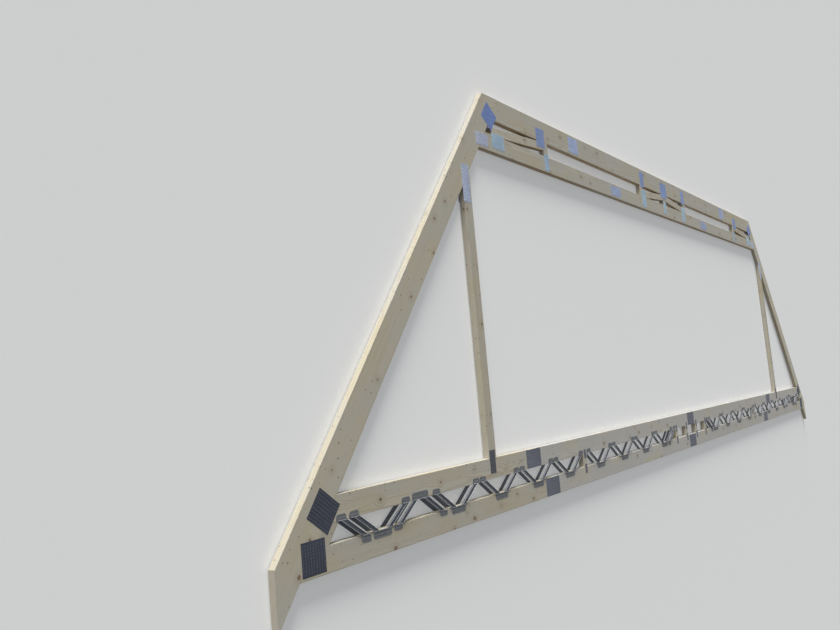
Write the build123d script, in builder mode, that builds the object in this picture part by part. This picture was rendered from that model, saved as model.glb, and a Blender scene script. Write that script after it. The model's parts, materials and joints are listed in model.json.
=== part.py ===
"""Timber roof truss with a flat top, made for a room in the roof.

Two sloping rafters carry a deep ceiling beam at the top and an open-web floor beam
near their feet. Two posts stand between the floor beam and the rafters. All timbers
have one thickness and lie in one plane. Punched steel nail plates hold the joints on
both faces, and pressed steel webs join the two chords of the floor beam.

The truss lies flat: X runs along the span, Y runs up the truss and Z is its thickness.
The origin is at the middle of its outline, on the surface that it lies on.
All sizes are in millimetres. Heights are measured from the underside of the floor beam.
The left half is set out, and the right half mirrors it.
"""
from build123d import *
from math import acos, atan2, cos, hypot, radians, sin, tan
import os

# Timber sections
timber_thickness = 47.0
rafter_depth = 195.0
floor_chord_depth = 145.0
ceiling_chord_depth = 195.0
ceiling_tie_depth = 145.0
post_depth = 97.0
strut_depth = 72.0
heel_strut_depth = 89.0
eased_arris = 2.0

# Outline
roof_pitch = 52.0
rafter_span = 12628.0
tail_overhang = 166.0
flat_top_height = 3215.0
floor_beam_gap = 110.0
ceiling_beam_gap = 125.0
sloping_ceiling_width = 174.0

# Ceiling beam, as distances from the centre line
inner_upright = 735.0
ceiling_tie_splice = 1500.0

# Ceiling beam, inwards from the rafter: end diagonal, outer upright, chord splice
end_diagonal_clearance = 93.0
end_diagonal_length = 888.0
chord_splice_step = 585.0

# Level seats of the diagonals on the tie
end_diagonal_seat = 180.0
inner_diagonal_seat = 100.0

# Service openings of the floor beam: the struts' distances from the centre line
service_strut_inner = 175.0
service_strut_outer = 520.0

# Pressed steel webs
webs_per_half = 8
web_gauge = 1.2
web_proud = 8.0
web_leg_run = 45.0
web_apex_plate = 164.0
web_apex_lap = 46.0
web_end_plate = 82.0
web_end_lap = 35.0
web_plate_corner = 12.0
flange_overrun = 8.0
flange_taper = 16.0

# Spaces between the webs' plates along the floor beam
web_gap = 3.5
first_web_gap = 100.0
lone_leg_gap = 22.0
top_web_gap = 46.0
heel_leg_clearance = 15.0

# Floor chord splices, as distances from the middles of the spaces beside them
floor_top_splice_shift = 38.0
floor_bottom_splice_shift = 44.0

# Punched steel nail plates, width by height
plate_gauge = 1.0
heel_top_plate = (182.0, 182.0)
heel_bottom_plate = (175.0, 178.0)
apex_plate = (165.0, 165.0)
tie_end_plate = (170.0, 100.0)
diagonal_foot_plate = (186.0, 124.0)
outer_head_plate = (150.0, 170.0)
outer_foot_plate = (80.0, 146.0)
inner_head_plate = (110.0, 175.0)
inner_foot_plate = (126.0, 190.0)
centre_head_plate = (200.0, 178.0)
centre_foot_plate = (80.0, 150.0)
chord_splice_plate = (200.0, 155.0)
tie_splice_plate = (250.0, 100.0)
post_head_plate = (96.0, 290.0)
post_foot_plate_width = 74.0
floor_splice_plate = (226.0, 140.0)
strut_plate = (40.0, 76.0)

# Places of the nail plates, from the joints that they hold
heel_top_shift = 55.0
heel_bottom_shift = 24.0
heel_plate_drop = 40.0
apex_plate_shift = 36.0
apex_plate_lift = 20.0
tie_end_shift = 6.0
post_head_shift = 12.0
post_head_drop = 42.0
post_foot_shift = 6.0
post_foot_rise = 56.0
post_foot_clearance = 3.0
diagonal_foot_drop = 45.0
outer_head_shift = 85.0
outer_head_lift = 30.0
outer_foot_drop = 56.0
inner_head_shift = 35.0
inner_head_lift = 72.0
inner_foot_shift = 50.0
inner_foot_drop = 25.0
centre_head_lift = 50.0
centre_foot_drop = 35.0
strut_foot_drop = 18.0

# Levels
floor_gap_bottom = floor_chord_depth
floor_gap_top = floor_gap_bottom + floor_beam_gap
floor_deck = floor_gap_top + floor_chord_depth
ceiling_gap_top = flat_top_height - ceiling_chord_depth
ceiling_gap_bottom = ceiling_gap_top - ceiling_beam_gap
tie_underside = ceiling_gap_bottom - ceiling_tie_depth

pitch = radians(roof_pitch)
half_strut = strut_depth / 2


def soffit_x(height):
    """Where the left rafter's lower edge is at a given height."""
    return height / tan(pitch) - rafter_span / 2


def soffit_height(x):
    """Height of the left rafter's lower edge at x."""
    return (x + rafter_span / 2) * tan(pitch)


def back_height(x):
    """Height of the left rafter's upper edge at x."""
    return soffit_height(x) + rafter_depth / cos(pitch)


tail_x = -rafter_span / 2 - tail_overhang
tail_tip_height = soffit_height(tail_x)
outline_middle = (flat_top_height + tail_tip_height) / 2

back_face = web_proud
front_face = back_face + timber_thickness
middle_plane = Plane.XY.offset((back_face + front_face) / 2)


def elevation(z):
    """Sketch plane for shapes set out by span and height, z above the ground."""
    return Plane(origin=(0, -outline_middle, z))


def timber(outline):
    """One straight timber from its outline in elevation, its long edges eased."""
    with BuildPart() as piece:
        with BuildSketch(elevation(back_face)):
            with BuildLine():
                Polyline(outline, close=True)
            make_face()
        extrude(amount=timber_thickness)
        long_edges = piece.edges().filter_by(Plane.XY).sort_by(SortBy.LENGTH)[-4:]
        chamfer(long_edges, length=eased_arris)
    return piece.part


def upright(x, bottom, top):
    """A strut between two chords, square at both ends, centred at x."""
    return timber(block(x - half_strut, x + half_strut, bottom, top))


def block(x_start, x_end, bottom, top):
    return [(x_start, bottom), (x_end, bottom), (x_end, top), (x_start, top)]


def block_on_rafter(x_end, bottom, top):
    """The outline of a chord whose left end is cut to fit the rafter."""
    return [(soffit_x(bottom), bottom), (x_end, bottom), (x_end, top), (soffit_x(top), top)]


def diagonal_outline(foot, seat, head):
    """A ceiling diagonal that rises to the right: level seat, plumb head."""
    run = head - foot - seat
    rise = acos(strut_depth / hypot(run, ceiling_beam_gap)) - atan2(run, ceiling_beam_gap)
    return [
        (foot, ceiling_gap_bottom),
        (foot + seat, ceiling_gap_bottom),
        (head, ceiling_gap_top - strut_depth / cos(rise)),
        (head, ceiling_gap_top),
        (foot, ceiling_gap_top - (head - foot) * tan(rise)),
    ]


def nail_plates(x, height, size, turn=0.0):
    """A pair of nail plates, one on each face, centred at x and height."""
    with BuildPart() as pair:
        with BuildSketch(elevation(front_face)):
            with Locations((x, height)):
                Rectangle(*size, rotation=turn)
        extrude(amount=plate_gauge)
        mirror(about=middle_plane)
    return pair.part


def mirrored(piece):
    """The same piece on the right half."""
    with BuildPart() as twin:
        mirror(piece, about=Plane.YZ)
    return twin.part


def gathered(pieces):
    """Several pieces that do not touch, kept together under one name."""
    with BuildPart() as group:
        for piece in pieces:
            add(piece)
    return group.part


# The webs between the heel strut and the service opening share the length that the
# spaces, the lone legs and the strut among them leave
half_gap = floor_beam_gap / 2
half_apex = web_apex_plate / 2
heel_strut_width = heel_strut_depth / sin(pitch)
heel_strut_head = -soffit_x(floor_gap_top) - heel_strut_width
bays_start = service_strut_outer + half_strut + first_web_gap
heel_leg_room = heel_leg_clearance + web_leg_run - web_end_plate
spaces = heel_leg_room + 3 * half_apex + 2 * lone_leg_gap + top_web_gap + strut_depth
webs_room = heel_strut_head - bays_start - spaces - webs_per_half * web_gap
web_length = webs_room / (webs_per_half + 1)
web_pitch = web_length + web_gap
half_web = web_length / 2

# One pressed web: a V of two channel legs, with a nail plate at its point and at each end.
# It is drawn point down, centred between the chords, lying on Z = 0.
leg_foot = half_apex - web_leg_run
leg_head = half_web - web_end_plate
leg_rise = leg_head - leg_foot
leg_angle = atan2(floor_beam_gap, leg_rise)
leg_length = hypot(floor_beam_gap, leg_rise)
leg_outline = [
    (leg_foot, -half_gap),
    (leg_foot + web_leg_run, -half_gap),
    (leg_head + web_leg_run, half_gap),
    (leg_head, half_gap),
]
flange_outline = [
    (-flange_overrun, 0),
    (leg_length + flange_overrun, 0),
    (leg_length + flange_overrun - flange_taper, web_proud),
    (flange_taper - flange_overrun, web_proud),
]


def leg_edge(start):
    """The plane through one edge of the leg: X up along it, Y out from the timber."""
    along = Vector(cos(leg_angle), sin(leg_angle), 0)
    return Plane((start, -half_gap, 0), x_dir=along, z_dir=along.cross(Vector(0, 0, 1)))


with BuildPart() as lone_leg:
    with BuildSketch() as sheet:
        with Locations((half_apex / 2, -half_gap - web_apex_lap / 2)):
            Rectangle(half_apex, web_apex_lap)
        with Locations((half_web - web_end_plate / 2, half_gap + web_end_lap / 2)):
            Rectangle(web_end_plate, web_end_lap)
        with BuildLine():
            Polyline(leg_outline, close=True)
        make_face()
        far_corners = sheet.vertices().filter_by(lambda v: abs(v.Y) > half_gap + web_plate_corner)
        chamfer(far_corners.sort_by(Axis.X)[1:], length=web_plate_corner)
    extrude(amount=web_gauge)
    for start, inwards in ((leg_foot, 1), (leg_foot + web_leg_run, -1)):
        with BuildSketch(leg_edge(start)):
            with BuildLine():
                Polyline(flange_outline, close=True)
            make_face()
        extrude(amount=inwards * web_gauge)

with BuildPart() as whole_web:
    add(lone_leg.part)
    mirror(about=Plane.YZ)


def web_pair(web, x, turn=0.0):
    """The same web on both faces of the floor beam, centred at x."""
    with BuildPart() as pair:
        with Locations(Location((x, floor_gap_bottom + half_gap - outline_middle, front_face), turn)):
            add(web.part)
        mirror(about=middle_plane)
    return pair.part


# Places of the webs, as distances from the centre line
heel_leg = heel_strut_head - heel_leg_clearance - leg_head - web_leg_run
heel_web = heel_leg - lone_leg_gap - half_apex
top_web = heel_web - lone_leg_gap - half_apex - half_web
inner_count = webs_per_half // 2
bay_strut = bays_start + inner_count * web_pitch + half_strut
webs = [bays_start + (step + 0.5) * web_pitch for step in range(webs_per_half)]
for step in range(inner_count, webs_per_half):
    webs[step] += strut_depth
service_leg = webs[0] - half_apex - lone_leg_gap

parts = {}

# Rafters: cut level at the flat top and plumb at the tail
parts["rafter_left"] = timber([
    (soffit_x(flat_top_height) - rafter_depth / sin(pitch), flat_top_height),
    (soffit_x(flat_top_height), flat_top_height),
    (tail_x, tail_tip_height),
    (tail_x, back_height(tail_x)),
])

# Posts that carry the rafters, their heads cut to the slope
post_inner = soffit_x(tie_underside) - sloping_ceiling_width
post_outer = post_inner - post_depth
parts["post_left"] = timber([
    (post_outer, floor_deck),
    (post_inner, floor_deck),
    (post_inner, soffit_height(post_inner)),
    (post_outer, soffit_height(post_outer)),
])

# Ceiling beam: a deep upper chord and a shallower tie, each in three lengths
end_foot = soffit_x(ceiling_gap_bottom) + end_diagonal_clearance
outer_upright = -end_foot - end_diagonal_length - half_strut
ceiling_chord_splice = outer_upright - chord_splice_step
parts["ceiling_chord_left"] = timber(
    block_on_rafter(-ceiling_chord_splice, ceiling_gap_top, flat_top_height))
parts["ceiling_chord_middle"] = timber(block(
    -ceiling_chord_splice, ceiling_chord_splice, ceiling_gap_top, flat_top_height))
parts["ceiling_tie_left"] = timber(
    block_on_rafter(-ceiling_tie_splice, tie_underside, ceiling_gap_bottom))
parts["ceiling_tie_middle"] = timber(block(
    -ceiling_tie_splice, ceiling_tie_splice, tie_underside, ceiling_gap_bottom))

# Uprights and shallow diagonals of the ceiling beam, numbered from the left
uprights = [-outer_upright, -inner_upright, 0.0, inner_upright, outer_upright]
for number, x in enumerate(uprights, start=1):
    parts[f"ceiling_upright_{number}"] = upright(x, ceiling_gap_bottom, ceiling_gap_top)

parts["ceiling_diagonal_1"] = timber(
    diagonal_outline(end_foot, end_diagonal_seat, -outer_upright - half_strut))
parts["ceiling_diagonal_2"] = timber(
    diagonal_outline(-inner_upright + half_strut, inner_diagonal_seat, -half_strut))
parts["ceiling_diagonal_3"] = mirrored(parts["ceiling_diagonal_2"])
parts["ceiling_diagonal_4"] = mirrored(parts["ceiling_diagonal_1"])

# Floor beam: two chords, each in four lengths numbered from the left
floor_top_splice = webs[inner_count + 1] + floor_top_splice_shift
floor_bottom_splice = webs[inner_count] + web_pitch / 2 + floor_bottom_splice_shift
for chord, splice, bottom in (
    ("floor_top_chord", floor_top_splice, floor_gap_top),
    ("floor_bottom_chord", floor_bottom_splice, 0.0),
):
    top = bottom + floor_chord_depth
    parts[f"{chord}_1"] = timber(block_on_rafter(-splice, bottom, top))
    parts[f"{chord}_2"] = timber(block(-splice, 0, bottom, top))
    parts[f"{chord}_3"] = mirrored(parts[f"{chord}_2"])
    parts[f"{chord}_4"] = mirrored(parts[f"{chord}_1"])

# Struts between the floor chords: raking ones at the rafters, the rest upright
parts["heel_strut_left"] = timber([
    (soffit_x(floor_gap_bottom), floor_gap_bottom),
    (soffit_x(floor_gap_bottom) + heel_strut_width, floor_gap_bottom),
    (soffit_x(floor_gap_top) + heel_strut_width, floor_gap_top),
    (soffit_x(floor_gap_top), floor_gap_top),
])
struts = [-bay_strut, -service_strut_outer, -service_strut_inner]
struts += [-x for x in reversed(struts)]
for number, x in enumerate(struts, start=1):
    parts[f"floor_strut_{number}"] = upright(x, floor_gap_bottom, floor_gap_top)

# Steel webs of the left half, two to a bay from the rafter inwards
bay_count = (webs_per_half + 1) // 2
for number in range(1, bay_count + 1):
    last = webs_per_half - 2 * (number - 1)
    pairs = [web_pair(whole_web, -x) for x in webs[max(last - 2, 0):last]]
    if number == bay_count:
        pairs.append(web_pair(lone_leg, -service_leg))
    parts[f"steel_webs_bay_{number}"] = gathered(pairs)
    parts[f"steel_webs_bay_{2 * bay_count + 1 - number}"] = mirrored(gathered(pairs))
parts["heel_webs_left"] = gathered([
    web_pair(whole_web, -top_web, turn=180),
    web_pair(whole_web, -heel_web),
    mirrored(web_pair(lone_leg, heel_leg)),
])

# Nail plates, a pair to a joint
chord_middle = flat_top_height - ceiling_chord_depth / 2
tie_middle = tie_underside + ceiling_tie_depth / 2
top_chord_middle = floor_gap_top + floor_chord_depth / 2
bottom_chord_middle = floor_chord_depth / 2
post_middle = post_inner - post_depth / 2
post_foot_bottom = floor_gap_top + web_end_lap + post_foot_clearance
post_foot_top = floor_deck + post_foot_rise
heel_height = floor_gap_bottom - heel_plate_drop
apex_height = ceiling_gap_top + apex_plate_lift


def strut_plates(x):
    """The small plates at the foot and the head of a floor strut."""
    foot = nail_plates(x, floor_gap_bottom - strut_foot_drop, strut_plate)
    return [foot, nail_plates(x, floor_gap_top, strut_plate)]


parts["heel_plates_left"] = gathered([
    nail_plates(soffit_x(top_chord_middle) - heel_top_shift, top_chord_middle,
                heel_top_plate, turn=roof_pitch),
    nail_plates(soffit_x(heel_height) + heel_bottom_shift, heel_height, heel_bottom_plate),
])
parts["apex_plates_left"] = gathered([
    nail_plates(soffit_x(apex_height) - apex_plate_shift, apex_height, apex_plate, turn=roof_pitch),
    nail_plates(soffit_x(tie_middle) - tie_end_shift, tie_middle, tie_end_plate),
])
parts["post_plates_left"] = gathered([
    nail_plates(post_middle - post_head_shift, soffit_height(post_middle) - post_head_drop,
                post_head_plate),
    nail_plates(post_middle - post_foot_shift, (post_foot_bottom + post_foot_top) / 2,
                (post_foot_plate_width, post_foot_top - post_foot_bottom)),
])
parts["ceiling_splice_plates_left"] = gathered([
    nail_plates(-ceiling_chord_splice, chord_middle, chord_splice_plate),
    nail_plates(-ceiling_tie_splice, tie_middle, tie_splice_plate),
])
parts["ceiling_web_plates_left"] = gathered([
    nail_plates(end_foot + end_diagonal_seat / 2, ceiling_gap_bottom - diagonal_foot_drop,
                diagonal_foot_plate),
    nail_plates(-outer_upright - outer_head_shift, ceiling_gap_top + outer_head_lift,
                outer_head_plate),
    nail_plates(-outer_upright, ceiling_gap_bottom - outer_foot_drop, outer_foot_plate),
])
parts["floor_plates_left"] = gathered([
    nail_plates(-floor_top_splice, top_chord_middle, floor_splice_plate),
    nail_plates(-floor_bottom_splice, bottom_chord_middle, floor_splice_plate),
] + strut_plates(-bay_strut))

head_x = inner_upright - inner_head_shift
foot_x = inner_upright - inner_foot_shift
parts["ceiling_web_plates_middle"] = gathered([
    nail_plates(-head_x, ceiling_gap_top + inner_head_lift, inner_head_plate),
    nail_plates(head_x, ceiling_gap_top + inner_head_lift, inner_head_plate),
    nail_plates(-foot_x, ceiling_gap_bottom - inner_foot_drop, inner_foot_plate),
    nail_plates(foot_x, ceiling_gap_bottom - inner_foot_drop, inner_foot_plate),
    nail_plates(0, ceiling_gap_top + centre_head_lift, centre_head_plate),
    nail_plates(0, ceiling_gap_bottom - centre_foot_drop, centre_foot_plate),
])
middle_plates = [
    nail_plates(0, top_chord_middle, floor_splice_plate),
    nail_plates(0, bottom_chord_middle, floor_splice_plate),
]
for x in struts[1:-1]:
    middle_plates += strut_plates(x)
parts["floor_plates_middle"] = gathered(middle_plates)

# The right half mirrors the left
for name in [key for key in parts if key.endswith("_left")]:
    parts[name.replace("_left", "_right")] = mirrored(parts[name])

os.makedirs("parts", exist_ok=True)
for name, piece in parts.items():
    piece.label = name
    export_step(piece, f"parts/{name}.step")
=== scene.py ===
# %% [markdown]
# # A timber roof truss in its finished look
# The timbers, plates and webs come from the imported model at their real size. This lesson
# gives them sawn wood and galvanised steel, and models the small relief that a plate press
# leaves on the steel: rows of punched slots, and the folded lips of the webs.

# %% Load the frame
import bpy
import json
import math
import random
from mathutils import Matrix, Vector

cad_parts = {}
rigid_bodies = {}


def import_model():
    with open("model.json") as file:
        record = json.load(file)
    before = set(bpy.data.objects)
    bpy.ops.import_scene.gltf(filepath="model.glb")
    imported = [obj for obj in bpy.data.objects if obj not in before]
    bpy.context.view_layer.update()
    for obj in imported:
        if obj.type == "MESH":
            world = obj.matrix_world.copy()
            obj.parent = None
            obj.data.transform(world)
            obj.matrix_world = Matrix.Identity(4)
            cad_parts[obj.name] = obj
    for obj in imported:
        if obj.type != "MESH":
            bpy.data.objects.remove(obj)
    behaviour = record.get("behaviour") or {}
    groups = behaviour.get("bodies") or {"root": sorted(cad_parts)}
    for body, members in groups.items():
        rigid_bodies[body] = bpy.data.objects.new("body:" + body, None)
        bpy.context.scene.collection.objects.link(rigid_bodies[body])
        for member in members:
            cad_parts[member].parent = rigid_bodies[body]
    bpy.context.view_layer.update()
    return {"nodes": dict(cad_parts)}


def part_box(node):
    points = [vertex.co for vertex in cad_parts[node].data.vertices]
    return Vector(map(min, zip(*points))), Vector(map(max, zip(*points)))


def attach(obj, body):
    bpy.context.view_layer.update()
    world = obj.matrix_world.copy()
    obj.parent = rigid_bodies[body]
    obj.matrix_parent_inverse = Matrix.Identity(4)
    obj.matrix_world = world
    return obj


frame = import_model()
nodes = frame["nodes"]
scene = bpy.context.scene
for thing in bpy.data.objects:
    thing.select_set(False)

# %% [markdown]
# ## Setting out
# The truss lies flat: X is its span, Y runs up the truss and Z is its thickness. Most
# places on it are known by their height above the floor beam's underside, so that height
# is read once from a floor chord, and the two faces of the timber from the same piece.

# %% Levels
chord_low, chord_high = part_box("floor_bottom_chord_2")
datum = chord_low.y
back_face = chord_low.z
front_face = chord_high.z
face_middle = (front_face + back_face) / 2
pitch = math.radians(52)
print("datum", round(datum, 4), "faces", round(back_face, 4), round(front_face, 4))

# %% [markdown]
# ## Camera
# The photograph looks at the truss from beyond its left end, low down, with the truss
# upright. Here the truss lies on its back, so the same view is had by a camera above it
# that is rolled a quarter turn. Its place was found by fitting the truss's edges.

# %% Camera
photo_width = 840
focal_pixels = 755.162
view_turn = (-0.0994642, -0.9256722, -0.0868397)
eye = Vector((-9.0411, datum + 0.9229, front_face + 2.9605))


def camera_axes(tilt, turn, roll):
    """The camera's right, down and forward directions in the truss's frame."""
    about_x = Matrix.Rotation(tilt, 3, "X")
    about_y = Matrix.Rotation(turn, 3, "Y")
    about_z = Matrix.Rotation(roll, 3, "Z")
    rows = about_z @ about_x @ about_y
    return [Vector((row[0], -row[1], -row[2])) for row in rows]


right, down, forward = camera_axes(*view_turn)
camera_data = bpy.data.cameras.new("camera")
camera_data.sensor_width = 36
camera_data.lens = focal_pixels / photo_width * camera_data.sensor_width
camera_data.clip_start = 0.05
camera_data.clip_end = 200
camera = bpy.data.objects.new("camera", camera_data)
facing = Matrix((right, -down, -forward)).transposed().to_4x4()
camera.matrix_world = Matrix.Translation(eye) @ facing
scene.collection.objects.link(camera)
scene.camera = camera
print("camera at", eye, "lens", round(camera_data.lens, 2))

# %% [markdown]
# ## Shader maths
# A procedural material is a sum of masks. Written as a web of nodes it is hard to read, so
# one small class wraps a socket: adding, multiplying or comparing two of them makes the
# Math node between them. Any other node comes from one method, which sets the node's own
# settings first and its inputs after.


# %% A socket that can be used in expressions
class Shade:
    """One output of one node, in the material it belongs to."""

    def __init__(self, tree, socket):
        self.tree = tree
        self.socket = socket

    def node(self, kind, settings=None, output=0, **inputs):
        """A new node of this kind in the same material, as one of its outputs."""
        made = self.tree.nodes.new(kind)
        for name, value in (settings or {}).items():
            setattr(made, name, value)
        for name, value in inputs.items():
            plug(self.tree, pick(made.inputs, name), value)
        return Shade(self.tree, pick(made.outputs, output))

    def other(self, output):
        """Another output of the same node."""
        return Shade(self.tree, pick(self.socket.node.outputs, output))

    def maths(self, operation, first, second=None):
        """A Math node on one or two values."""
        made = self.tree.nodes.new("ShaderNodeMath")
        made.operation = operation
        plug(self.tree, made.inputs[0], first)
        if second is not None:
            plug(self.tree, made.inputs[1], second)
        return Shade(self.tree, made.outputs[0])

    def __add__(self, other):
        return self.maths("ADD", self, other)

    def __radd__(self, other):
        return self.maths("ADD", other, self)

    def __sub__(self, other):
        return self.maths("SUBTRACT", self, other)

    def __rsub__(self, other):
        return self.maths("SUBTRACT", other, self)

    def __mul__(self, other):
        return self.maths("MULTIPLY", self, other)

    def __rmul__(self, other):
        return self.maths("MULTIPLY", other, self)

    def __truediv__(self, other):
        return self.maths("DIVIDE", self, other)

    def __gt__(self, other):
        return self.maths("GREATER_THAN", self, other)

    def fraction(self):
        return self.maths("FRACT", self)

    def absolute(self):
        return self.maths("ABSOLUTE", self)

    def most(self, other):
        return self.maths("MAXIMUM", self, other)

    def root(self):
        return self.maths("SQRT", self)

    def step(self, low, high):
        """0 below low, 1 above high, and a smooth rise between them."""
        return self.node("ShaderNodeMapRange", {"interpolation_type": "SMOOTHSTEP"},
                         Value=self, From_Min=low, From_Max=high)

    def mix(self, start, end):
        """The colour start where this mask is 0, and end where it is 1."""
        return self.node("ShaderNodeMix", {"data_type": "RGBA"}, output=2,
                         Factor=self, A_Color=start, B_Color=end)


print("a Shade can be used with + - * / and >")

# %% [markdown]
# A node's sockets are found by name or number. Python's argument names have no spaces, so
# an underscore stands for one. The Mix node has several sockets of the same name, and its
# two colours are told apart by their identifiers.


# %% Sockets by name
def pick(sockets, name):
    """A socket by its number or its name, with _ for a space."""
    if isinstance(name, int):
        return sockets[name]
    if name in ("A_Color", "B_Color"):
        return [socket for socket in sockets if socket.identifier == name][0]
    return sockets[name.replace("_", " ")]


def plug(tree, socket, value):
    """Link the socket to a Shade, or set it to a number, a vector or a colour."""
    if isinstance(value, Shade):
        tree.links.new(value.socket, socket)
    elif socket.type == "RGBA":
        socket.default_value = (*value, 1)
    else:
        socket.default_value = value


print("sockets take a Shade, a number, a vector or a colour")

# %% [markdown]
# Every material here starts from the place on the object, because a pattern that follows
# the object's own metres keeps its size on a long timber and on a short one. It ends with
# a colour, a roughness and a height, which a Bump node turns into relief.

# %% Starting and finishing a material
bump_strength = 0.8


def new_material(name):
    """A fresh material, its main shader, and the place on the object as a Shade."""
    material = bpy.data.materials.new(name)
    material.use_nodes = True
    tree = material.node_tree
    shader = [node for node in tree.nodes if node.type == "BSDF_PRINCIPLED"][0]
    start = Shade(tree, shader.outputs[0])
    place = start.node("ShaderNodeTexCoord", output="Object")
    return material, shader, place


def finish_material(shader, colour, roughness, height, relief):
    """Link what varies over the surface; relief is the height's size in metres."""
    tree = shader.id_data
    plug(tree, shader.inputs["Base Color"], colour)
    plug(tree, shader.inputs["Roughness"], roughness)
    bump = height.node("ShaderNodeBump", Strength=bump_strength, Distance=relief,
                       Height=height)
    plug(tree, shader.inputs["Normal"], bump)


def wear(thing, *materials):
    """Put these materials on the thing, in this order of slots."""
    thing.data.materials.clear()
    for material in materials:
        thing.data.materials.append(material)


print("materials before any are made", len(bpy.data.materials))


# %% Vectors, noise and layers
def vector(x, y, z):
    """A vector of three values."""
    return x.node("ShaderNodeCombineXYZ", X=x, Y=y, Z=z)


def parts_of(vector_shade):
    """The three numbers of a vector."""
    x = vector_shade.node("ShaderNodeSeparateXYZ", Vector=vector_shade)
    return x, x.other(1), x.other(2)


def noise(point, scale, detail=3.0, roughness=0.5):
    """Soft random clouds, about 0.5 on average."""
    return point.node("ShaderNodeTexNoise", Vector=point, Scale=scale, Detail=detail,
                      Roughness=roughness)


def laid_over(colour, top, mask, share):
    """The colour with another laid over it, at most by this share, where the mask is."""
    return (mask * share).mix(colour, top)


def scaled(colour, share):
    """A colour with each of its channels multiplied."""
    return tuple(channel * share for channel in colour)


print("half as bright", scaled((1.0, 0.8, 0.6), 0.5))

# %% [markdown]
# ## Spruce, seen from inside the log
# A timber is sawn from a log lengthwise, then planed. Its faces show long streaks and
# pointed arches of early and late wood, its ends show arcs of the growth rings, and knots
# are the branches that the saw went through. Painting each face on its own would break
# these lines at every edge. Here the whole log is described instead: growth rings round an
# axis that runs along the piece and a little beside it. Every face then cuts through the
# same rings, so faces, edges and ends agree.

# %% Colours of the wood
sapwood = (0.665, 0.62, 0.49)
late_wood = (0.545, 0.475, 0.335)
resin_wood = (0.60, 0.50, 0.33)
fibre_shade = (0.44, 0.385, 0.28)
shaded_heartwood = (0.47, 0.33, 0.16)
# undersides: warm heartwood colours darkened with painted shade
shaded_heart_ring = (0.33, 0.20, 0.085)
end_early = (0.50, 0.41, 0.27)
end_late = (0.33, 0.24, 0.13)
weathered = (0.57, 0.57, 0.565)
knot_rim = (0.35, 0.245, 0.135)
knot_heart = (0.18, 0.115, 0.065)
speck_brown = (0.20, 0.155, 0.105)
print("sapwood", sapwood, "shaded_heartwood", shaded_heartwood)


# %% Along, across and through a timber
def grain_frame(place, angle, middle):
    """The place measured from the middle: along the grain, across the face, through it."""
    turned = place.node("ShaderNodeMapping", {"vector_type": "TEXTURE"}, Vector=place,
                        Location=tuple(middle), Rotation=(0, 0, angle))
    return parts_of(turned)


def along_grain(axes, waves, shift=0.0, detail=3.0, roughness=0.6):
    """Noise drawn out along the grain; its waves per metre along it and across it."""
    along, across, through = axes
    lengthwise, crosswise = waves
    point = vector(along * lengthwise + shift, across * crosswise, through * crosswise)
    return noise(point, 1.0, detail, roughness)


print("the rafters' grain climbs at", round(math.degrees(pitch)), "degrees")

# %% [markdown]
# ## Knots and specks
# A branch shows as a round or ragged dark spot, with a rim of bark-brown wood and a halo
# where the grain bends round it. Thin twigs leave specks. A Voronoi texture scatters such
# spots: each cell has one centre and one random number, which says whether the cell has a
# knot and how large it is. In three dimensions most centres would lie beside the planed
# face and never show, so the cells are laid out in two. A cell's size is in metres, and
# the radii and edges of the spots are shares of a cell.

# %% Branches through a timber
knot_cell = 0.17
knot_stretch = 0.8
knot_rarity = 0.58
knot_radius = 0.022
knot_growth = 0.14
knot_edge = (-0.004, 0.012)
rim_edge = (0.0, 0.035)
halo_edge = (0.0, 0.26)
speck_cell = 0.078
speck_shift = 1.7
speck_radius = 0.088
speck_edge = (-0.012, 0.022)
raggedness = 0.03
knot_waves = 14.0
speck_waves = 22.0


def branches(axes, shift, cell, stretch):
    """Distance from the nearest branch, its random number, and the place as seen there.

    Branches run slantwise through the timber, so wide faces and edges both cut them.
    """
    along, across, through = axes
    point = vector(along * (stretch / cell) + shift, (across + through) / cell + shift, 0.0)
    distance = point.node("ShaderNodeTexVoronoi",
                          {"voronoi_dimensions": "2D", "feature": "F1"}, Vector=point,
                          Scale=1.0, Randomness=1.0)
    chance = distance.other(1)
    chosen = chance.node("ShaderNodeSeparateColor", Color=chance)
    return distance, chosen, point


def knots(axes, shift):
    """Masks of the knots, of their rims and of the wood that bends round them."""
    distance, chosen, point = branches(axes, shift, knot_cell, knot_stretch)
    wanted = chosen > knot_rarity
    radius = (chosen - knot_rarity) * knot_growth + knot_radius
    edge = distance + noise(point, knot_waves) * raggedness - radius
    knot = (1 - edge.step(*knot_edge)) * wanted
    rim = (1 - edge.step(*rim_edge)) * wanted
    halo = (1 - edge.step(*halo_edge)) * wanted
    return knot, rim, halo


def pin_knots(axes, shift):
    """A mask of the small dark specks where thin twigs grew."""
    distance, chosen, point = branches(axes, shift * speck_shift, speck_cell, 1.0)
    edge = distance + noise(point, speck_waves) * raggedness - chosen * speck_radius
    return (1 - edge.step(*speck_edge)) * (chosen * 0.5 + 0.5)


print("room for a knot every", round(knot_cell / knot_stretch, 2), "m")

# %% [markdown]
# ## Growth rings
# The log's core, its pith, lies a little beside the timber and behind it, at a place drawn
# by chance for each piece. A ring is pale early wood that darkens into late wood and then
# ends sharply. A slow noise makes the log wander, and knots push the rings aside.

# %% Rings round the log's axis
ring_width = 0.0058
ring_unevenness = 1.4
late_wood_from = 0.30
late_wood_to = 0.93
pith_beside = (0.015, 0.09)
pith_behind = (-0.10, -0.035)
wander_waves = (0.42, 2.2)
wander_scale = 2.6
wander_across = 0.05
wander_through = 0.03
knot_push = 0.010


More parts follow.
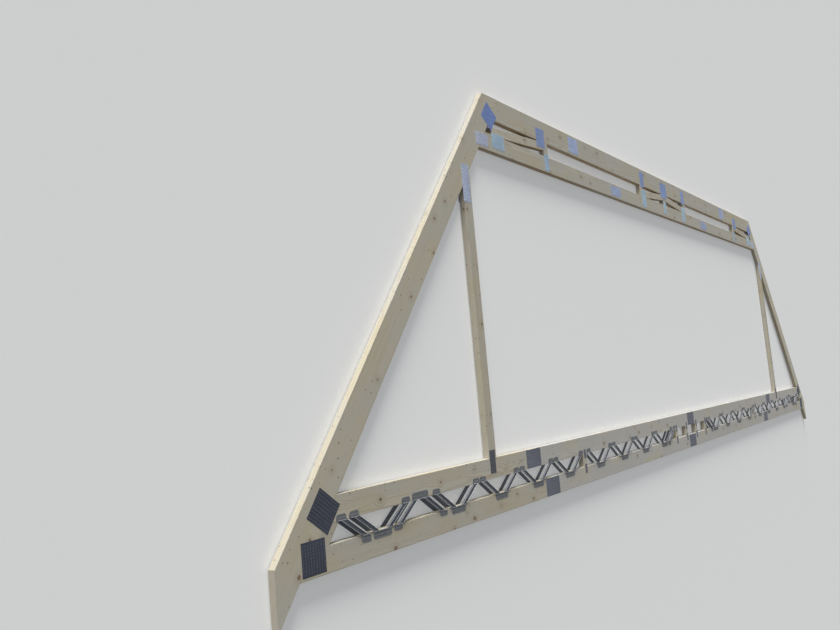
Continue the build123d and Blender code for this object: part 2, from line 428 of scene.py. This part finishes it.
def growth_rings(axes, halo, chance):
    """The dark share of each growth ring, bent by a slow wander and by the knots."""
    along, across, through = axes
    pith_across = chance.uniform(*pith_beside) * chance.choice((-1, 1))
    pith_through = chance.uniform(*pith_behind)
    lengthwise, crosswise = wander_waves
    slow = vector(along * lengthwise + chance.uniform(0, 9), across * crosswise,
                  through * crosswise)
    wander = noise(slow, wander_scale) - 0.5
    side = across - pith_across + wander * wander_across
    depth = through - pith_through + wander * wander_through
    radius = (side * side + depth * depth).root() + halo * knot_push
    ring = (radius / ring_width + wander * ring_unevenness).fraction()
    return ring.step(late_wood_from, late_wood_to) * (1 - ring.step(late_wood_to, 1.0))


print("rings in a 145 mm chord", round(0.145 / ring_width))

# %% [markdown]
# ## Planed faces, undersides and ends
# The colour is built up in layers, as a glaze is: rings first, then streaks, fine fibres,
# warm clouds, grey weathering and the marks of the branches. The face's own direction then
# tells a face from an end and from an underside. The undersides take a warm, darker
# heartwood colour with painted shade in it, and the ends show their rings more strongly.

# %% One timber's wood
fibre_waves = (3.0, 240.0)
streak_waves = (0.8, 34.0)
cloud_waves = (1.2, 5.0)
grey_waves = (1.6, 4.0)
grey_scale = 1.3
grey_spread = 0.30
wood_relief = 0.0007


def planed_face(axes, masks, noises, tone, warmth, weather, shift):
    """The colour of a planed face; tone makes it lighter or darker."""
    knot, rim, halo, rings = masks
    fibres, streaks, clouds = noises
    along, across, through = axes
    lengthwise, crosswise = grey_waves
    greyness, grey_from = weather
    grey_point = vector(along * lengthwise, across * crosswise + shift, through * crosswise)
    grey = noise(grey_point, grey_scale, 3.0, 0.6)
    colour = rings.mix(scaled(sapwood, tone), scaled(late_wood, tone))
    colour = laid_over(colour, scaled(late_wood, tone), streaks.step(0.46, 0.76), 0.50)
    colour = laid_over(colour, fibre_shade, fibres.step(0.52, 0.86), 0.34)
    colour = laid_over(colour, scaled(resin_wood, tone), clouds.step(0.48, 0.72),
                       0.24 + warmth)
    colour = laid_over(colour, weathered, grey.step(grey_from, grey_from + grey_spread),
                       greyness)
    colour = laid_over(colour, knot_rim, halo, 0.22)
    colour = laid_over(colour, knot_rim, rim, 0.60)
    colour = laid_over(colour, speck_brown, pin_knots(axes, shift), 0.75)
    return laid_over(colour, knot_heart, knot, 0.75)


def ends_and_undersides(place, angle):
    """Masks of the timber's sawn ends and of the faces that look down the truss."""
    normal = place.node("ShaderNodeNewGeometry", output="Normal")
    facing_x, facing_y = parts_of(normal)[:2]
    facing_along = (facing_x * math.cos(angle) + facing_y * math.sin(angle)).absolute()
    end_grain = facing_along.step(0.55, 0.9)
    underside = (facing_y * -1.0).step(0.4, 0.85) * (1 - end_grain)
    return end_grain, underside


def spruce(name, angle, middle, tone, warmth, weather, seed):
    """Planed spruce whose grain runs at this angle through the piece's middle.

    weather is how grey it has turned, and the noise level where the grey patches begin.
    """
    chance = random.Random(seed)
    material, shader, place = new_material(name)
    axes = grain_frame(place, angle, middle)
    shift = 10.0 * chance.random()
    knot, rim, halo = knots(axes, shift)
    rings = growth_rings(axes, halo, chance)
    fibres = along_grain(axes, fibre_waves, detail=4.0, roughness=0.65)
    streaks = along_grain(axes, streak_waves, shift)
    clouds = along_grain(axes, cloud_waves, shift, detail=4.0)
    colour = planed_face(axes, (knot, rim, halo, rings), (fibres, streaks, clouds), tone,
                         warmth, weather, shift)

    end_grain, underside = ends_and_undersides(place, angle)
    # painted shade: faces that look down the truss take darker, warmer wood
    shaded_heart_share = clouds.step(0.30, 0.62) * 0.35 + 0.45
    shaded_heart = (rings * 0.7 + streaks.step(0.45, 0.7) * 0.3).mix(shaded_heartwood, shaded_heart_ring)
    colour = (underside * shaded_heart_share).mix(colour, shaded_heart)
    colour = laid_over(colour, rings.mix(end_early, end_late), end_grain, 0.6)

    roughness = 0.66 + rings * 0.05 - knot * 0.18 + end_grain * 0.12
    height = rings * 0.35 + fibres * (0.55 + end_grain * 0.6) - knot * 0.5 + rim * 0.3
    finish_material(shader, colour, roughness, height, wood_relief)
    return material


print("the wood's relief is", wood_relief * 1000, "mm")

# %% [markdown]
# ## Which way each timber runs
# The grain always follows the piece: level in the chords, upright in the posts and struts,
# along the slope in the rafters and heel struts, and nearly level in the shallow diagonals
# of the ceiling beam.

# %% Grain of every timber
long_diagonal = math.radians(4.3)
short_diagonal = math.radians(5.4)
grain_angles = {
    "rafter_left": pitch,
    "rafter_right": -pitch,
    "heel_strut_left": pitch,
    "heel_strut_right": -pitch,
    "ceiling_diagonal_1": -long_diagonal,
    "ceiling_diagonal_2": -short_diagonal,
    "ceiling_diagonal_3": short_diagonal,
    "ceiling_diagonal_4": long_diagonal,
}
upright_names = ("post_left", "post_right", "ceiling_upright", "floor_strut")
level_names = ("ceiling_chord", "ceiling_tie", "floor_top_chord", "floor_bottom_chord")
for name in nodes:
    if name.startswith(upright_names):
        grain_angles[name] = math.pi / 2
    elif name.startswith(level_names):
        grain_angles[name] = 0.0
print("timbers", len(grain_angles))

# %% [markdown]
# ## Wood for every timber
# Every piece comes from another log, so each gets its own seed and its own tone. Tables by
# name say which timbers are lighter or darker than most, the floor beam's first lengths
# being darker by painted shade, which have more warm wood, and which have turned grey in
# the rain: the floor beam's chords, except their first lengths, and a little of the
# ceiling beam.

# %% Wood for every timber
first_seed = 40
tone_seed_shift = 50
tone_range = (0.94, 1.05)
tone_and_shade_shares = {
    "heel_strut": 0.8,
    "rafter": 1.07,
    # painted shade on the floor beam's first lengths
    "floor_top_chord_1": 0.92,
    "floor_bottom_chord_1": 0.92,
}
warm_names = ("heel_strut", "floor_strut", "post_left", "post_right")
extra_warmth = 0.5
fresh = (0.4, 0.35)
weathers = {
    "floor_top_chord_1": fresh,
    "floor_bottom_chord_1": fresh,
    "floor_top_chord": (0.75, 0.22),
    "floor_bottom_chord": (0.75, 0.22),
    "ceiling_chord_middle": (0.5, 0.28),
    "ceiling_tie": (0.5, 0.28),
}


def by_name(table, name, otherwise):
    """What the table says for the first of its beginnings that the name has."""
    fitting = [value for start, value in table.items() if name.startswith(start)]
    return fitting[0] if fitting else otherwise


for seed, name in enumerate(sorted(grain_angles), start=first_seed):
    low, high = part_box(name)
    middle = (low + high) / 2
    tone = random.Random(seed + tone_seed_shift).uniform(*tone_range)
    tone *= by_name(tone_and_shade_shares, name, 1.0)
    warmth = extra_warmth if name.startswith(warm_names) else 0.0
    weather = by_name(weathers, name, fresh)
    wood = spruce(f"spruce_{name}", grain_angles[name], middle, tone, warmth, weather, seed)
    wear(nodes[name], wood)
print("timbers with wood", len(grain_angles))

# %% [markdown]
# ## Galvanised steel
# Nail plates and webs are stamped from zinc-coated strip. The zinc freezes in flat crystals,
# the spangle, each of a slightly different grey, and it dulls in clouds. A Voronoi texture
# gives the crystals and a noise gives the clouds, and a finer noise gives bright scratches.

# %% Zinc with its spangle
crystals_per_metre = 85.0
crystal_light = 1.25
crystal_dark = 0.74
dull_waves = 11.0
sheen_waves = 3.4
scratch_waves = 160.0
scratch_colour = (0.6, 0.62, 0.66)
plate_metallic = 0.25
steel_relief = 0.0003


def zinc_colour(place, base):
    """The colour and the crystals of zinc whose middle tone is base."""
    crystals = place.node("ShaderNodeTexVoronoi", {"feature": "F1"}, output=1, Vector=place,
                          Scale=crystals_per_metre)
    crystal = crystals.node("ShaderNodeSeparateColor", Color=crystals)
    clouds = noise(place, dull_waves, 4.0, 0.6)
    sheen = noise(place, sheen_waves, 2.0, 0.5)
    light = tuple(min(1.0, channel * crystal_light) for channel in base)
    dark = scaled(base, crystal_dark)
    colour = laid_over(crystal.mix(dark, light), base, clouds.step(0.35, 0.7), 0.55)
    return (sheen.step(0.35, 0.60) * 0.8 + 0.2).mix(dark, colour), crystal


def above(place, level):
    """A mask of what is more than this level above the floor beam's underside."""
    return (parts_of(place)[1] - datum) > level


def zinc(name, lower, upper=None, level=0.0):
    """Zinc-coated steel; upper is its tone above a level, if that is another one: painted
    light that differs with height.
    """
    material, shader, place = new_material(name)
    colour, crystal = zinc_colour(place, lower)
    # painted light: plates above the level take another tone
    if upper:
        colour = above(place, level).mix(colour, zinc_colour(place, upper)[0])
    scratches = noise(place, scratch_waves, 2.0, 0.7)
    colour = laid_over(colour, scratch_colour, scratches.step(0.62, 0.8), 0.2)
    roughness = 0.44 + crystal * 0.12 + scratches * 0.08
    finish_material(shader, colour, roughness, crystal * 0.15 + scratches * 0.1, steel_relief)
    shader.inputs["Metallic"].default_value = plate_metallic
    return material


print("a crystal is about", round(1000 / crystals_per_metre), "mm wide")

# %% [markdown]
# ## Steel for each group of plates
# High on the truss the plates are blue as a painted reflection of the sky, and low down
# they are grey with painted shade, darkest at the heels. So each group has its own tone,
# and where one group has plates at two heights, a second tone holds above a level. The
# lips of the slots are a little brighter than their plate, as a painted highlight. The
# slots' lips on the webs have a steel of their own.

# %% Steel for each group of plates
# each tone is the zinc's grey with painted light: painted sky reflection high up, painted
# shade low down
plate_tones_with_painted_light = {
    "heel_plates": ((0.044, 0.052, 0.086), None, 0.0),
    "apex_plates": ((0.68, 0.74, 1.0), (0.18, 0.285, 0.68), 2.898),
    "post_plates": ((0.10, 0.108, 0.135), (0.64, 0.72, 1.0), 1.3),
    "ceiling_web_plates": ((0.54, 0.75, 1.0), (0.30, 0.43, 0.84), 2.9645),
    "ceiling_splice_plates": ((0.52, 0.615, 1.0), None, 0.0),
    "floor_plates": ((0.175, 0.188, 0.245), None, 0.0),
}
web_tone = (0.19, 0.20, 0.215)
lip_highlight_share = 1.4


def brightened_as_highlight(tone):
    """The tone made lighter as a painted highlight on the lips, and never lighter than white.
    """
    return tone and scaled(tone, min(lip_highlight_share, 1 / max(tone)))


lip_steel = {}
for group, (lower, upper, level) in plate_tones_with_painted_light.items():
    steel = zinc(f"zinc_{group}", lower, upper, level)
    # painted highlight: the slots' lips are a little lighter than their plate
    lips = zinc(f"zinc_lips_{group}", brightened_as_highlight(lower), brightened_as_highlight(upper), level)
    for name in nodes:
        if name.startswith(group):
            wear(nodes[name], steel)
            lip_steel[name] = lips
web_lips = zinc("zinc_lips_webs", brightened_as_highlight(web_tone))
print("plate nodes with steel", len(lip_steel))

# %% [markdown]
# ## What the open slots show
# Through a slot the wood and the bent teeth can be seen. Low on the truss they lie in
# shade and look dark blue, and high up they are lit as the plates round them are.

# %% Wood in the slots
shade_colours = ((0.085, 0.09, 0.105), (0.13, 0.135, 0.155))
lit_colours = ((0.34, 0.42, 0.58), (0.44, 0.52, 0.68))
lit_level = 1.3
splinter_waves = 60.0
slot_relief = 0.0002


def timber_in_slots(name):
    """The wood and the bent teeth in the open slots: in shade low down, lit high up."""
    material, shader, place = new_material(name)
    streaks = noise(place, splinter_waves, 3.0, 0.6)
    mask = streaks.step(0.35, 0.65)
    colour = above(place, lit_level).mix(mask.mix(*shade_colours), mask.mix(*lit_colours))
    finish_material(shader, colour, streaks * 0.1 + 0.75, streaks, slot_relief)
    return material


slot_shade = timber_in_slots("shade_in_slots")
print("in the slots", slot_shade.name)

# %% [markdown]
# ## Steel of the webs
# The webs are folded from the same strip. Their free edges get a painted highlight, and
# the floor of each channel gets painted shade. Both are known by their place: the edges
# stand furthest from the timber, and the channels lie in the gap between the two floor
# chords.

# %% Steel of the webs
floor_gap_bottom = chord_high.y
floor_gap_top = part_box("floor_top_chord_2")[0].y
gap_middle = (floor_gap_bottom + floor_gap_top) / 2
half_gap = (floor_gap_top - floor_gap_bottom) / 2
half_timber = (front_face - back_face) / 2
channel_painted_shade = (0.085, 0.095, 0.125)
edge_highlight_colour = (0.86, 0.89, 0.93)
edge_highlight_stand = (0.0055, 0.0072)
channel_shade_fade = (half_gap - 0.012, half_gap + 0.002)
web_metallic = 0.55


def folded_strip(name):
    """The webs' steel: painted shade in the channels and a painted highlight along the free
    edges.
    """
    material, shader, place = new_material(name)
    colour, crystal = zinc_colour(place, web_tone)
    height, depth = parts_of(place)[1:]
    stand = (depth - face_middle).absolute() - half_timber
    edge_highlight = stand.step(*edge_highlight_stand)
    channel = 1 - (height - gap_middle).absolute().step(*channel_shade_fade)
    # painted shade in the channels, then a painted highlight on the edges that stand furthest
    # out
    colour = laid_over(colour, channel_painted_shade, channel, 0.8)
    colour = laid_over(colour, edge_highlight_colour, edge_highlight, 0.9)
    roughness = 0.40 + crystal * 0.10 - edge_highlight * 0.1
    finish_material(shader, colour, roughness, crystal * 0.15, steel_relief)
    shader.inputs["Metallic"].default_value = web_metallic
    return material


web_steel = folded_strip("zinc_webs")
web_names = [name for name in nodes if name.startswith(("steel_webs", "heel_webs"))]
for name in web_names:
    wear(nodes[name], web_steel)
print("web nodes with steel", len(web_names))

# %% [markdown]
# ## Where the plates and webs are
# The punched slots have to sit on the plates exactly, so their places are read from the
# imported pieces. A node holds several loose pieces, and its mesh is loose triangles: the
# triangles that share a corner belong to one piece. Walking from corner to corner finds
# them.


# %% Loose pieces of a node
def loose_pieces(thing):
    """The corner points of each separate solid in the thing's mesh."""
    keys = [tuple(round(value, 5) for value in vertex.co) for vertex in thing.data.vertices]
    leader = {key: key for key in keys}

    def find(key):
        while leader[key] != key:
            leader[key] = leader[leader[key]]
            key = leader[key]
        return key

    for face in thing.data.polygons:
        first = find(keys[face.vertices[0]])
        for index in face.vertices[1:]:
            leader[find(keys[index])] = first
    groups = {}
    for key in leader:
        groups.setdefault(find(key), []).append(Vector(key))
    return list(groups.values())


def spread(points, direction):
    """The lowest and highest reach of the points along a direction."""
    reaches = [point.dot(direction) for point in points]
    return min(reaches), max(reaches)


span_way = Vector((1, 0, 0))
up_way = Vector((0, 1, 0))
face_way = Vector((0, 0, 1))
print("solids in heel_plates_left", len(loose_pieces(nodes["heel_plates_left"])))

# %% [markdown]
# ## One punched slot
# The plate press cuts each tooth from the strip and bends it down, which leaves a slot with
# a slightly raised lip. One slot is modelled: a low block whose top is drawn in, then inset
# twice, the second time downwards. An image or a bump could fake it, but real lips catch
# the light along the rows, as they do on the truss.

# %% Model the slot
slot_length = 0.0130
slot_width = 0.0070
slot_lip = 0.0004
slot_pitch = 0.0175
row_pitch = 0.0195
slot_top = (0.93, 0.86, 1)
slot_depth = slot_lip * 0.9
lip_width = 0.0006
slot_wall = 0.0004
sunk_below = slot_lip * 0.95
straight_up = 0.9
partly_up = 0.3


def select_faces(thing, wanted):
    """In edit mode, select only the faces for which wanted is true."""
    bpy.ops.object.mode_set(mode="OBJECT")
    for vertex in thing.data.vertices:
        vertex.select = False
    for edge in thing.data.edges:
        edge.select = False
    for face in thing.data.polygons:
        face.select = wanted(face)
    bpy.ops.object.mode_set(mode="EDIT")
    bpy.ops.mesh.select_mode(type="FACE")


bpy.ops.object.select_all(action="DESELECT")
bpy.ops.mesh.primitive_cube_add(size=1, location=(0, 0, slot_lip / 2),
                                scale=(slot_length, slot_width, slot_lip))
slot = bpy.context.object
slot.name = "slot_pattern"
bpy.ops.object.transform_apply(location=True, rotation=True, scale=True)
select_faces(slot, lambda face: face.normal.z > straight_up)
bpy.ops.transform.resize(value=slot_top)
bpy.ops.mesh.inset(thickness=lip_width)
bpy.ops.mesh.inset(thickness=slot_wall, depth=-slot_depth)
bpy.ops.object.mode_set(mode="OBJECT")
wear(slot, web_lips, slot_shade)
for face in slot.data.polygons:
    sunk = face.center.z < sunk_below and face.normal.z > partly_up
    face.material_index = 1 if sunk else 0
print("slot faces", len(slot.data.polygons))

# %% [markdown]
# ## Rows of slots
# A plate's slots are all alike, so two Array modifiers repeat the one slot: along the row,
# and from row to row. The block of slots is then turned and moved onto its plate. For the
# far side of the truss it is turned over, so its lips point away from the wood.

# %% Fill a rectangle with slots
edge_margin = 0.004
rounding = 0.001


def apply_modifier(thing, modifier):
    """Make the modifier's result the thing's own mesh."""
    bpy.context.view_layer.objects.active = thing
    bpy.ops.object.modifier_apply(modifier=modifier.name)


def repeat(thing, count, offset):
    """Copies of the thing's mesh, each one offset further."""
    array = thing.modifiers.new("repeat", "ARRAY")
    array.count = count
    array.use_relative_offset = False
    array.use_constant_offset = True
    array.constant_offset_displace = offset
    apply_modifier(thing, array)


def how_many(room, size, step):
    """How many slots of this size fit in the room, one step apart."""
    return max(1, int((room - 2 * edge_margin - size) / step + 1 + rounding))


def slot_rows(middle, length, width, turn, outwards, lips):
    """Slots on a rectangle: its middle, its reach along the slots and across them."""
    rows = slot.copy()
    rows.data = slot.data.copy()
    scene.collection.objects.link(rows)
    rows.data.materials[0] = lips
    count = how_many(length, slot_length, slot_pitch)
    row_count = how_many(width, slot_width, row_pitch)
    repeat(rows, count, (slot_pitch, 0, 0))
    repeat(rows, row_count, (0, row_pitch, 0))
    back_by = Vector((-(count - 1) * slot_pitch / 2, -(row_count - 1) * row_pitch / 2, 0))
    over = Matrix.Identity(4) if outwards > 0 else Matrix.Rotation(math.pi, 4, "X")
    turned = Matrix.Rotation(turn, 4, "Z") @ over
    rows.data.transform(Matrix.Translation(middle) @ turned @ Matrix.Translation(back_by))
    return rows


def joined(name, things):
    """One piece made of many, named and fixed to the truss."""
    bpy.ops.object.select_all(action="DESELECT")
    for thing in things:
        thing.select_set(True)
    bpy.context.view_layer.objects.active = things[0]
    bpy.ops.object.join()
    piece = bpy.context.object
    piece.name = name
    piece.data.name = name
    piece.select_set(False)
    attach(piece, "root")
    return piece


print("slots in a row of 100 mm", how_many(0.1, slot_length, slot_pitch))

# %% [markdown]
# ## Slots on the nail plates
# On most plates the rows are level. The upper plate at a rafter's foot and the one at its
# head lie along the rafter, and their rows cross it. On the lower plate of the heel the
# rows stand upright. A turned plate is known by its end: its outermost point is a single
# corner, where a level plate has a whole edge.

# %% Slots for every plate node
corner_reach = 0.0005
least_edge = 0.01


def is_turned(points):
    """Whether the plate stands on a slope, and so ends in a single corner."""
    end = spread(points, span_way)[0]
    corners = [point for point in points if point.x < end + corner_reach]
    low, high = spread(corners, up_way)
    return high - low < least_edge


def plate_slots(name, points):
    """The block of slots for one plate, given by its corner points."""
    low_z, high_z = spread(points, face_way)
    outwards = 1 if low_z > face_middle else -1
    face = high_z if outwards > 0 else low_z
    turn = 0.0
    if is_turned(points):
        turn = pitch if sum(spread(points, span_way)) < 0 else -pitch
    along = Vector((math.cos(turn), math.sin(turn), 0))
    across = Vector((-math.sin(turn), math.cos(turn), 0))
    along_low, along_high = spread(points, along)
    across_low, across_high = spread(points, across)
    middle = along * (along_low + along_high) / 2 + across * (across_low + across_high) / 2
    middle.z = face
    length = along_high - along_low
    width = across_high - across_low
    if name.startswith("heel_plates") or turn != 0.0:
        length, width = width, length
        turn += math.pi / 2
    return slot_rows(middle, length, width, turn, outwards, lip_steel[name])


slot_total = 0
for name in sorted(lip_steel):
    blocks = [plate_slots(name, points) for points in loose_pieces(nodes[name])]
    piece = joined(f"slots_{name}", blocks)
    slot_total += len(piece.data.polygons) // len(slot.data.polygons)
print("slots on the plates", slot_total)

# %% [markdown]
# ## Nail zones of the pressed webs
# A web is one strip of steel: at each end and at its point it lies flat on the chord and
# has teeth of its own, and between them it is folded into a channel. Each zone gets its
# rows of slots, and a folded lip along its inner edge, where the light catches it.

# %% Zones of a web, where it laps a chord
least_lap = 0.005
zone_apart = 0.17


def nail_zones(points, gap_bottom, gap_top):
    """Rectangles (x_low, x_high, y_low, y_high) of a web's flat ends and point."""
    zones = []
    for beyond, inner in ((-1, gap_bottom), (1, gap_top)):
        lapped = [point for point in points if (point.y - inner) * beyond > least_lap]
        lapped.sort(key=lambda point: point.x)
        group = []
        for point in lapped + [None]:
            if group and (point is None or point.x - group[-1].x > zone_apart):
                outer = spread(group, up_way * beyond)[1] * beyond
                low, high = sorted((inner, outer))
                zones.append((group[0].x, group[-1].x, low, high))
                group = []
            if point is not None:
                group.append(point)
    return zones


first_web = loose_pieces(nodes["steel_webs_bay_1"])[0]
print("zones of a web", len(nail_zones(first_web, floor_gap_bottom, floor_gap_top)))

# %% [markdown]
# ## Folded lips
# The folded lip is a slim upright strip along the zone's inner edge. A block is narrowed
# towards its free edge, as a pressed lip is, and its edges are rounded with a bevel.

# %% The folded lip
lip_stand = 0.0062
lip_thickness = 0.0016
lip_short_of_end = 0.014
lip_top = (0.96, 0.7, 1)
lip_round = 0.0003


def folded_lip(x_low, x_high, y, face, outwards):
    """A lip from x_low to x_high, standing on the face."""
    bpy.ops.object.select_all(action="DESELECT")
    bpy.ops.mesh.primitive_cube_add(
        size=1, location=((x_low + x_high) / 2, y, face + outwards * lip_stand / 2),
        scale=(x_high - x_low - lip_short_of_end, lip_thickness, lip_stand))
    lip = bpy.context.object
    bpy.ops.object.transform_apply(location=True, rotation=True, scale=True)
    select_faces(lip, lambda side: side.normal.z * outwards > straight_up)
    bpy.ops.transform.resize(value=lip_top)
    bpy.ops.object.mode_set(mode="OBJECT")
    bevel = lip.modifiers.new("round", "BEVEL")
    bevel.width = lip_round
    bevel.segments = 1
    apply_modifier(lip, bevel)
    wear(lip, web_steel)
    return lip


print("lips stand", lip_stand * 1000, "mm off the steel")

# %% Slots and lips of every web
sheet = 0.0012
lip_inset = 0.0015
least_stand = 0.002
near_enough = 0.001


def web_relief(points):
    """The slots and folded lips of one web, given by its corner points."""
    high_z = spread(points, face_way)[1]
    outwards = 1 if high_z > front_face + least_stand else -1
    face = front_face + sheet if outwards > 0 else back_face - sheet
    made = []
    for x_low, x_high, y_low, y_high in nail_zones(points, floor_gap_bottom, floor_gap_top):
        middle = Vector(((x_low + x_high) / 2, (y_low + y_high) / 2, face))
        made.append(slot_rows(middle, x_high - x_low, y_high - y_low, 0.0, outwards, web_lips))
        on_bottom_chord = y_high < floor_gap_bottom + near_enough
        lip_y = y_high - lip_inset if on_bottom_chord else y_low + lip_inset
        made.append(folded_lip(x_low, x_high, lip_y, face, outwards))
    return made


for name in sorted(web_names):
    relief = []
    for points in loose_pieces(nodes[name]):
        relief += web_relief(points)
    piece = joined(f"teeth_{name}", relief)
    print(piece.name, "faces", len(piece.data.polygons))
bpy.data.objects.remove(slot)

# %% [markdown]
# ## Floor
# The truss lies on a plain pale floor that also fills the background. Its paleness in the
# picture comes partly from light that only the camera, mirrors and glass see, so it doesn't
# brighten the truss. The world uses the same mask behind the floor's far edge. The floor has
# no gloss, which would make it paler towards that edge.

# %% Floor
floor_size = 400
floor_gap = 0.0005
floor_colour = (0.80, 0.80, 0.79, 1)
floor_glow = (0.23, 0.235, 0.24)


def seen_directly(start):
    """A mask of the rays of the camera, and of those that mirrors and glass pass on."""
    ray = start.node("ShaderNodeLightPath", output="Is Camera Ray")
    return ray.most(ray.other("Is Glossy Ray")).most(ray.other("Is Transmission Ray"))


bpy.ops.object.select_all(action="DESELECT")
bpy.ops.mesh.primitive_plane_add(size=floor_size, location=(0, 0, -floor_gap))
floor = bpy.context.object
floor.name = "floor"
floor_material, floor_shader, floor_place = new_material("floor")
floor_shader.inputs["Base Color"].default_value = floor_colour
floor_shader.inputs["Roughness"].default_value = 0.95
floor_shader.inputs["Specular IOR Level"].default_value = 0.0
floor_shader.inputs["Emission Strength"].default_value = 1.0
glow = seen_directly(floor_place).mix((0, 0, 0), floor_glow)
plug(glow.tree, floor_shader.inputs["Emission Color"], glow)
wear(floor, floor_material)
print("floor of", floor_size, "m, glow", floor_glow)

# %% [markdown]
# ## Light
# Outdoors the sky lit the truss from above, that is from beyond its flat top, while its wide
# face stood in open shade. Here a sun with a wide disc shines low over the truss from that
# side, so its shadows are soft, and a plain world fills them. The camera and mirrors see
# the world as pale as the floor.

# %% Lamp and world
sky_data = bpy.data.lights.new("sky_side", "SUN")
sky_data.energy = 4.1
sky_data.angle = math.radians(25)
sky_data.color = (1.0, 0.985, 0.955)
sky_lamp = bpy.data.objects.new("sky_side", sky_data)
shining = Vector((0.22, -0.95, -0.205))
sky_lamp.rotation_euler = shining.to_track_quat("-Z", "Y").to_euler()
scene.collection.objects.link(sky_lamp)

fill_light = (0.205, 0.212, 0.22)
backdrop = (0.608, 0.616, 0.615)
world = bpy.data.worlds.new("world")
world.use_nodes = True
background = world.node_tree.nodes["Background"]
background.inputs["Strength"].default_value = 1.0
world_start = Shade(world.node_tree, background.outputs[0])
world_colour = seen_directly(world_start).mix(fill_light, backdrop)
plug(world_colour.tree, background.inputs["Color"], world_colour)
scene.world = world
scene.view_settings.view_transform = "Standard"
print("lamp", sky_data.energy, "world", fill_light)
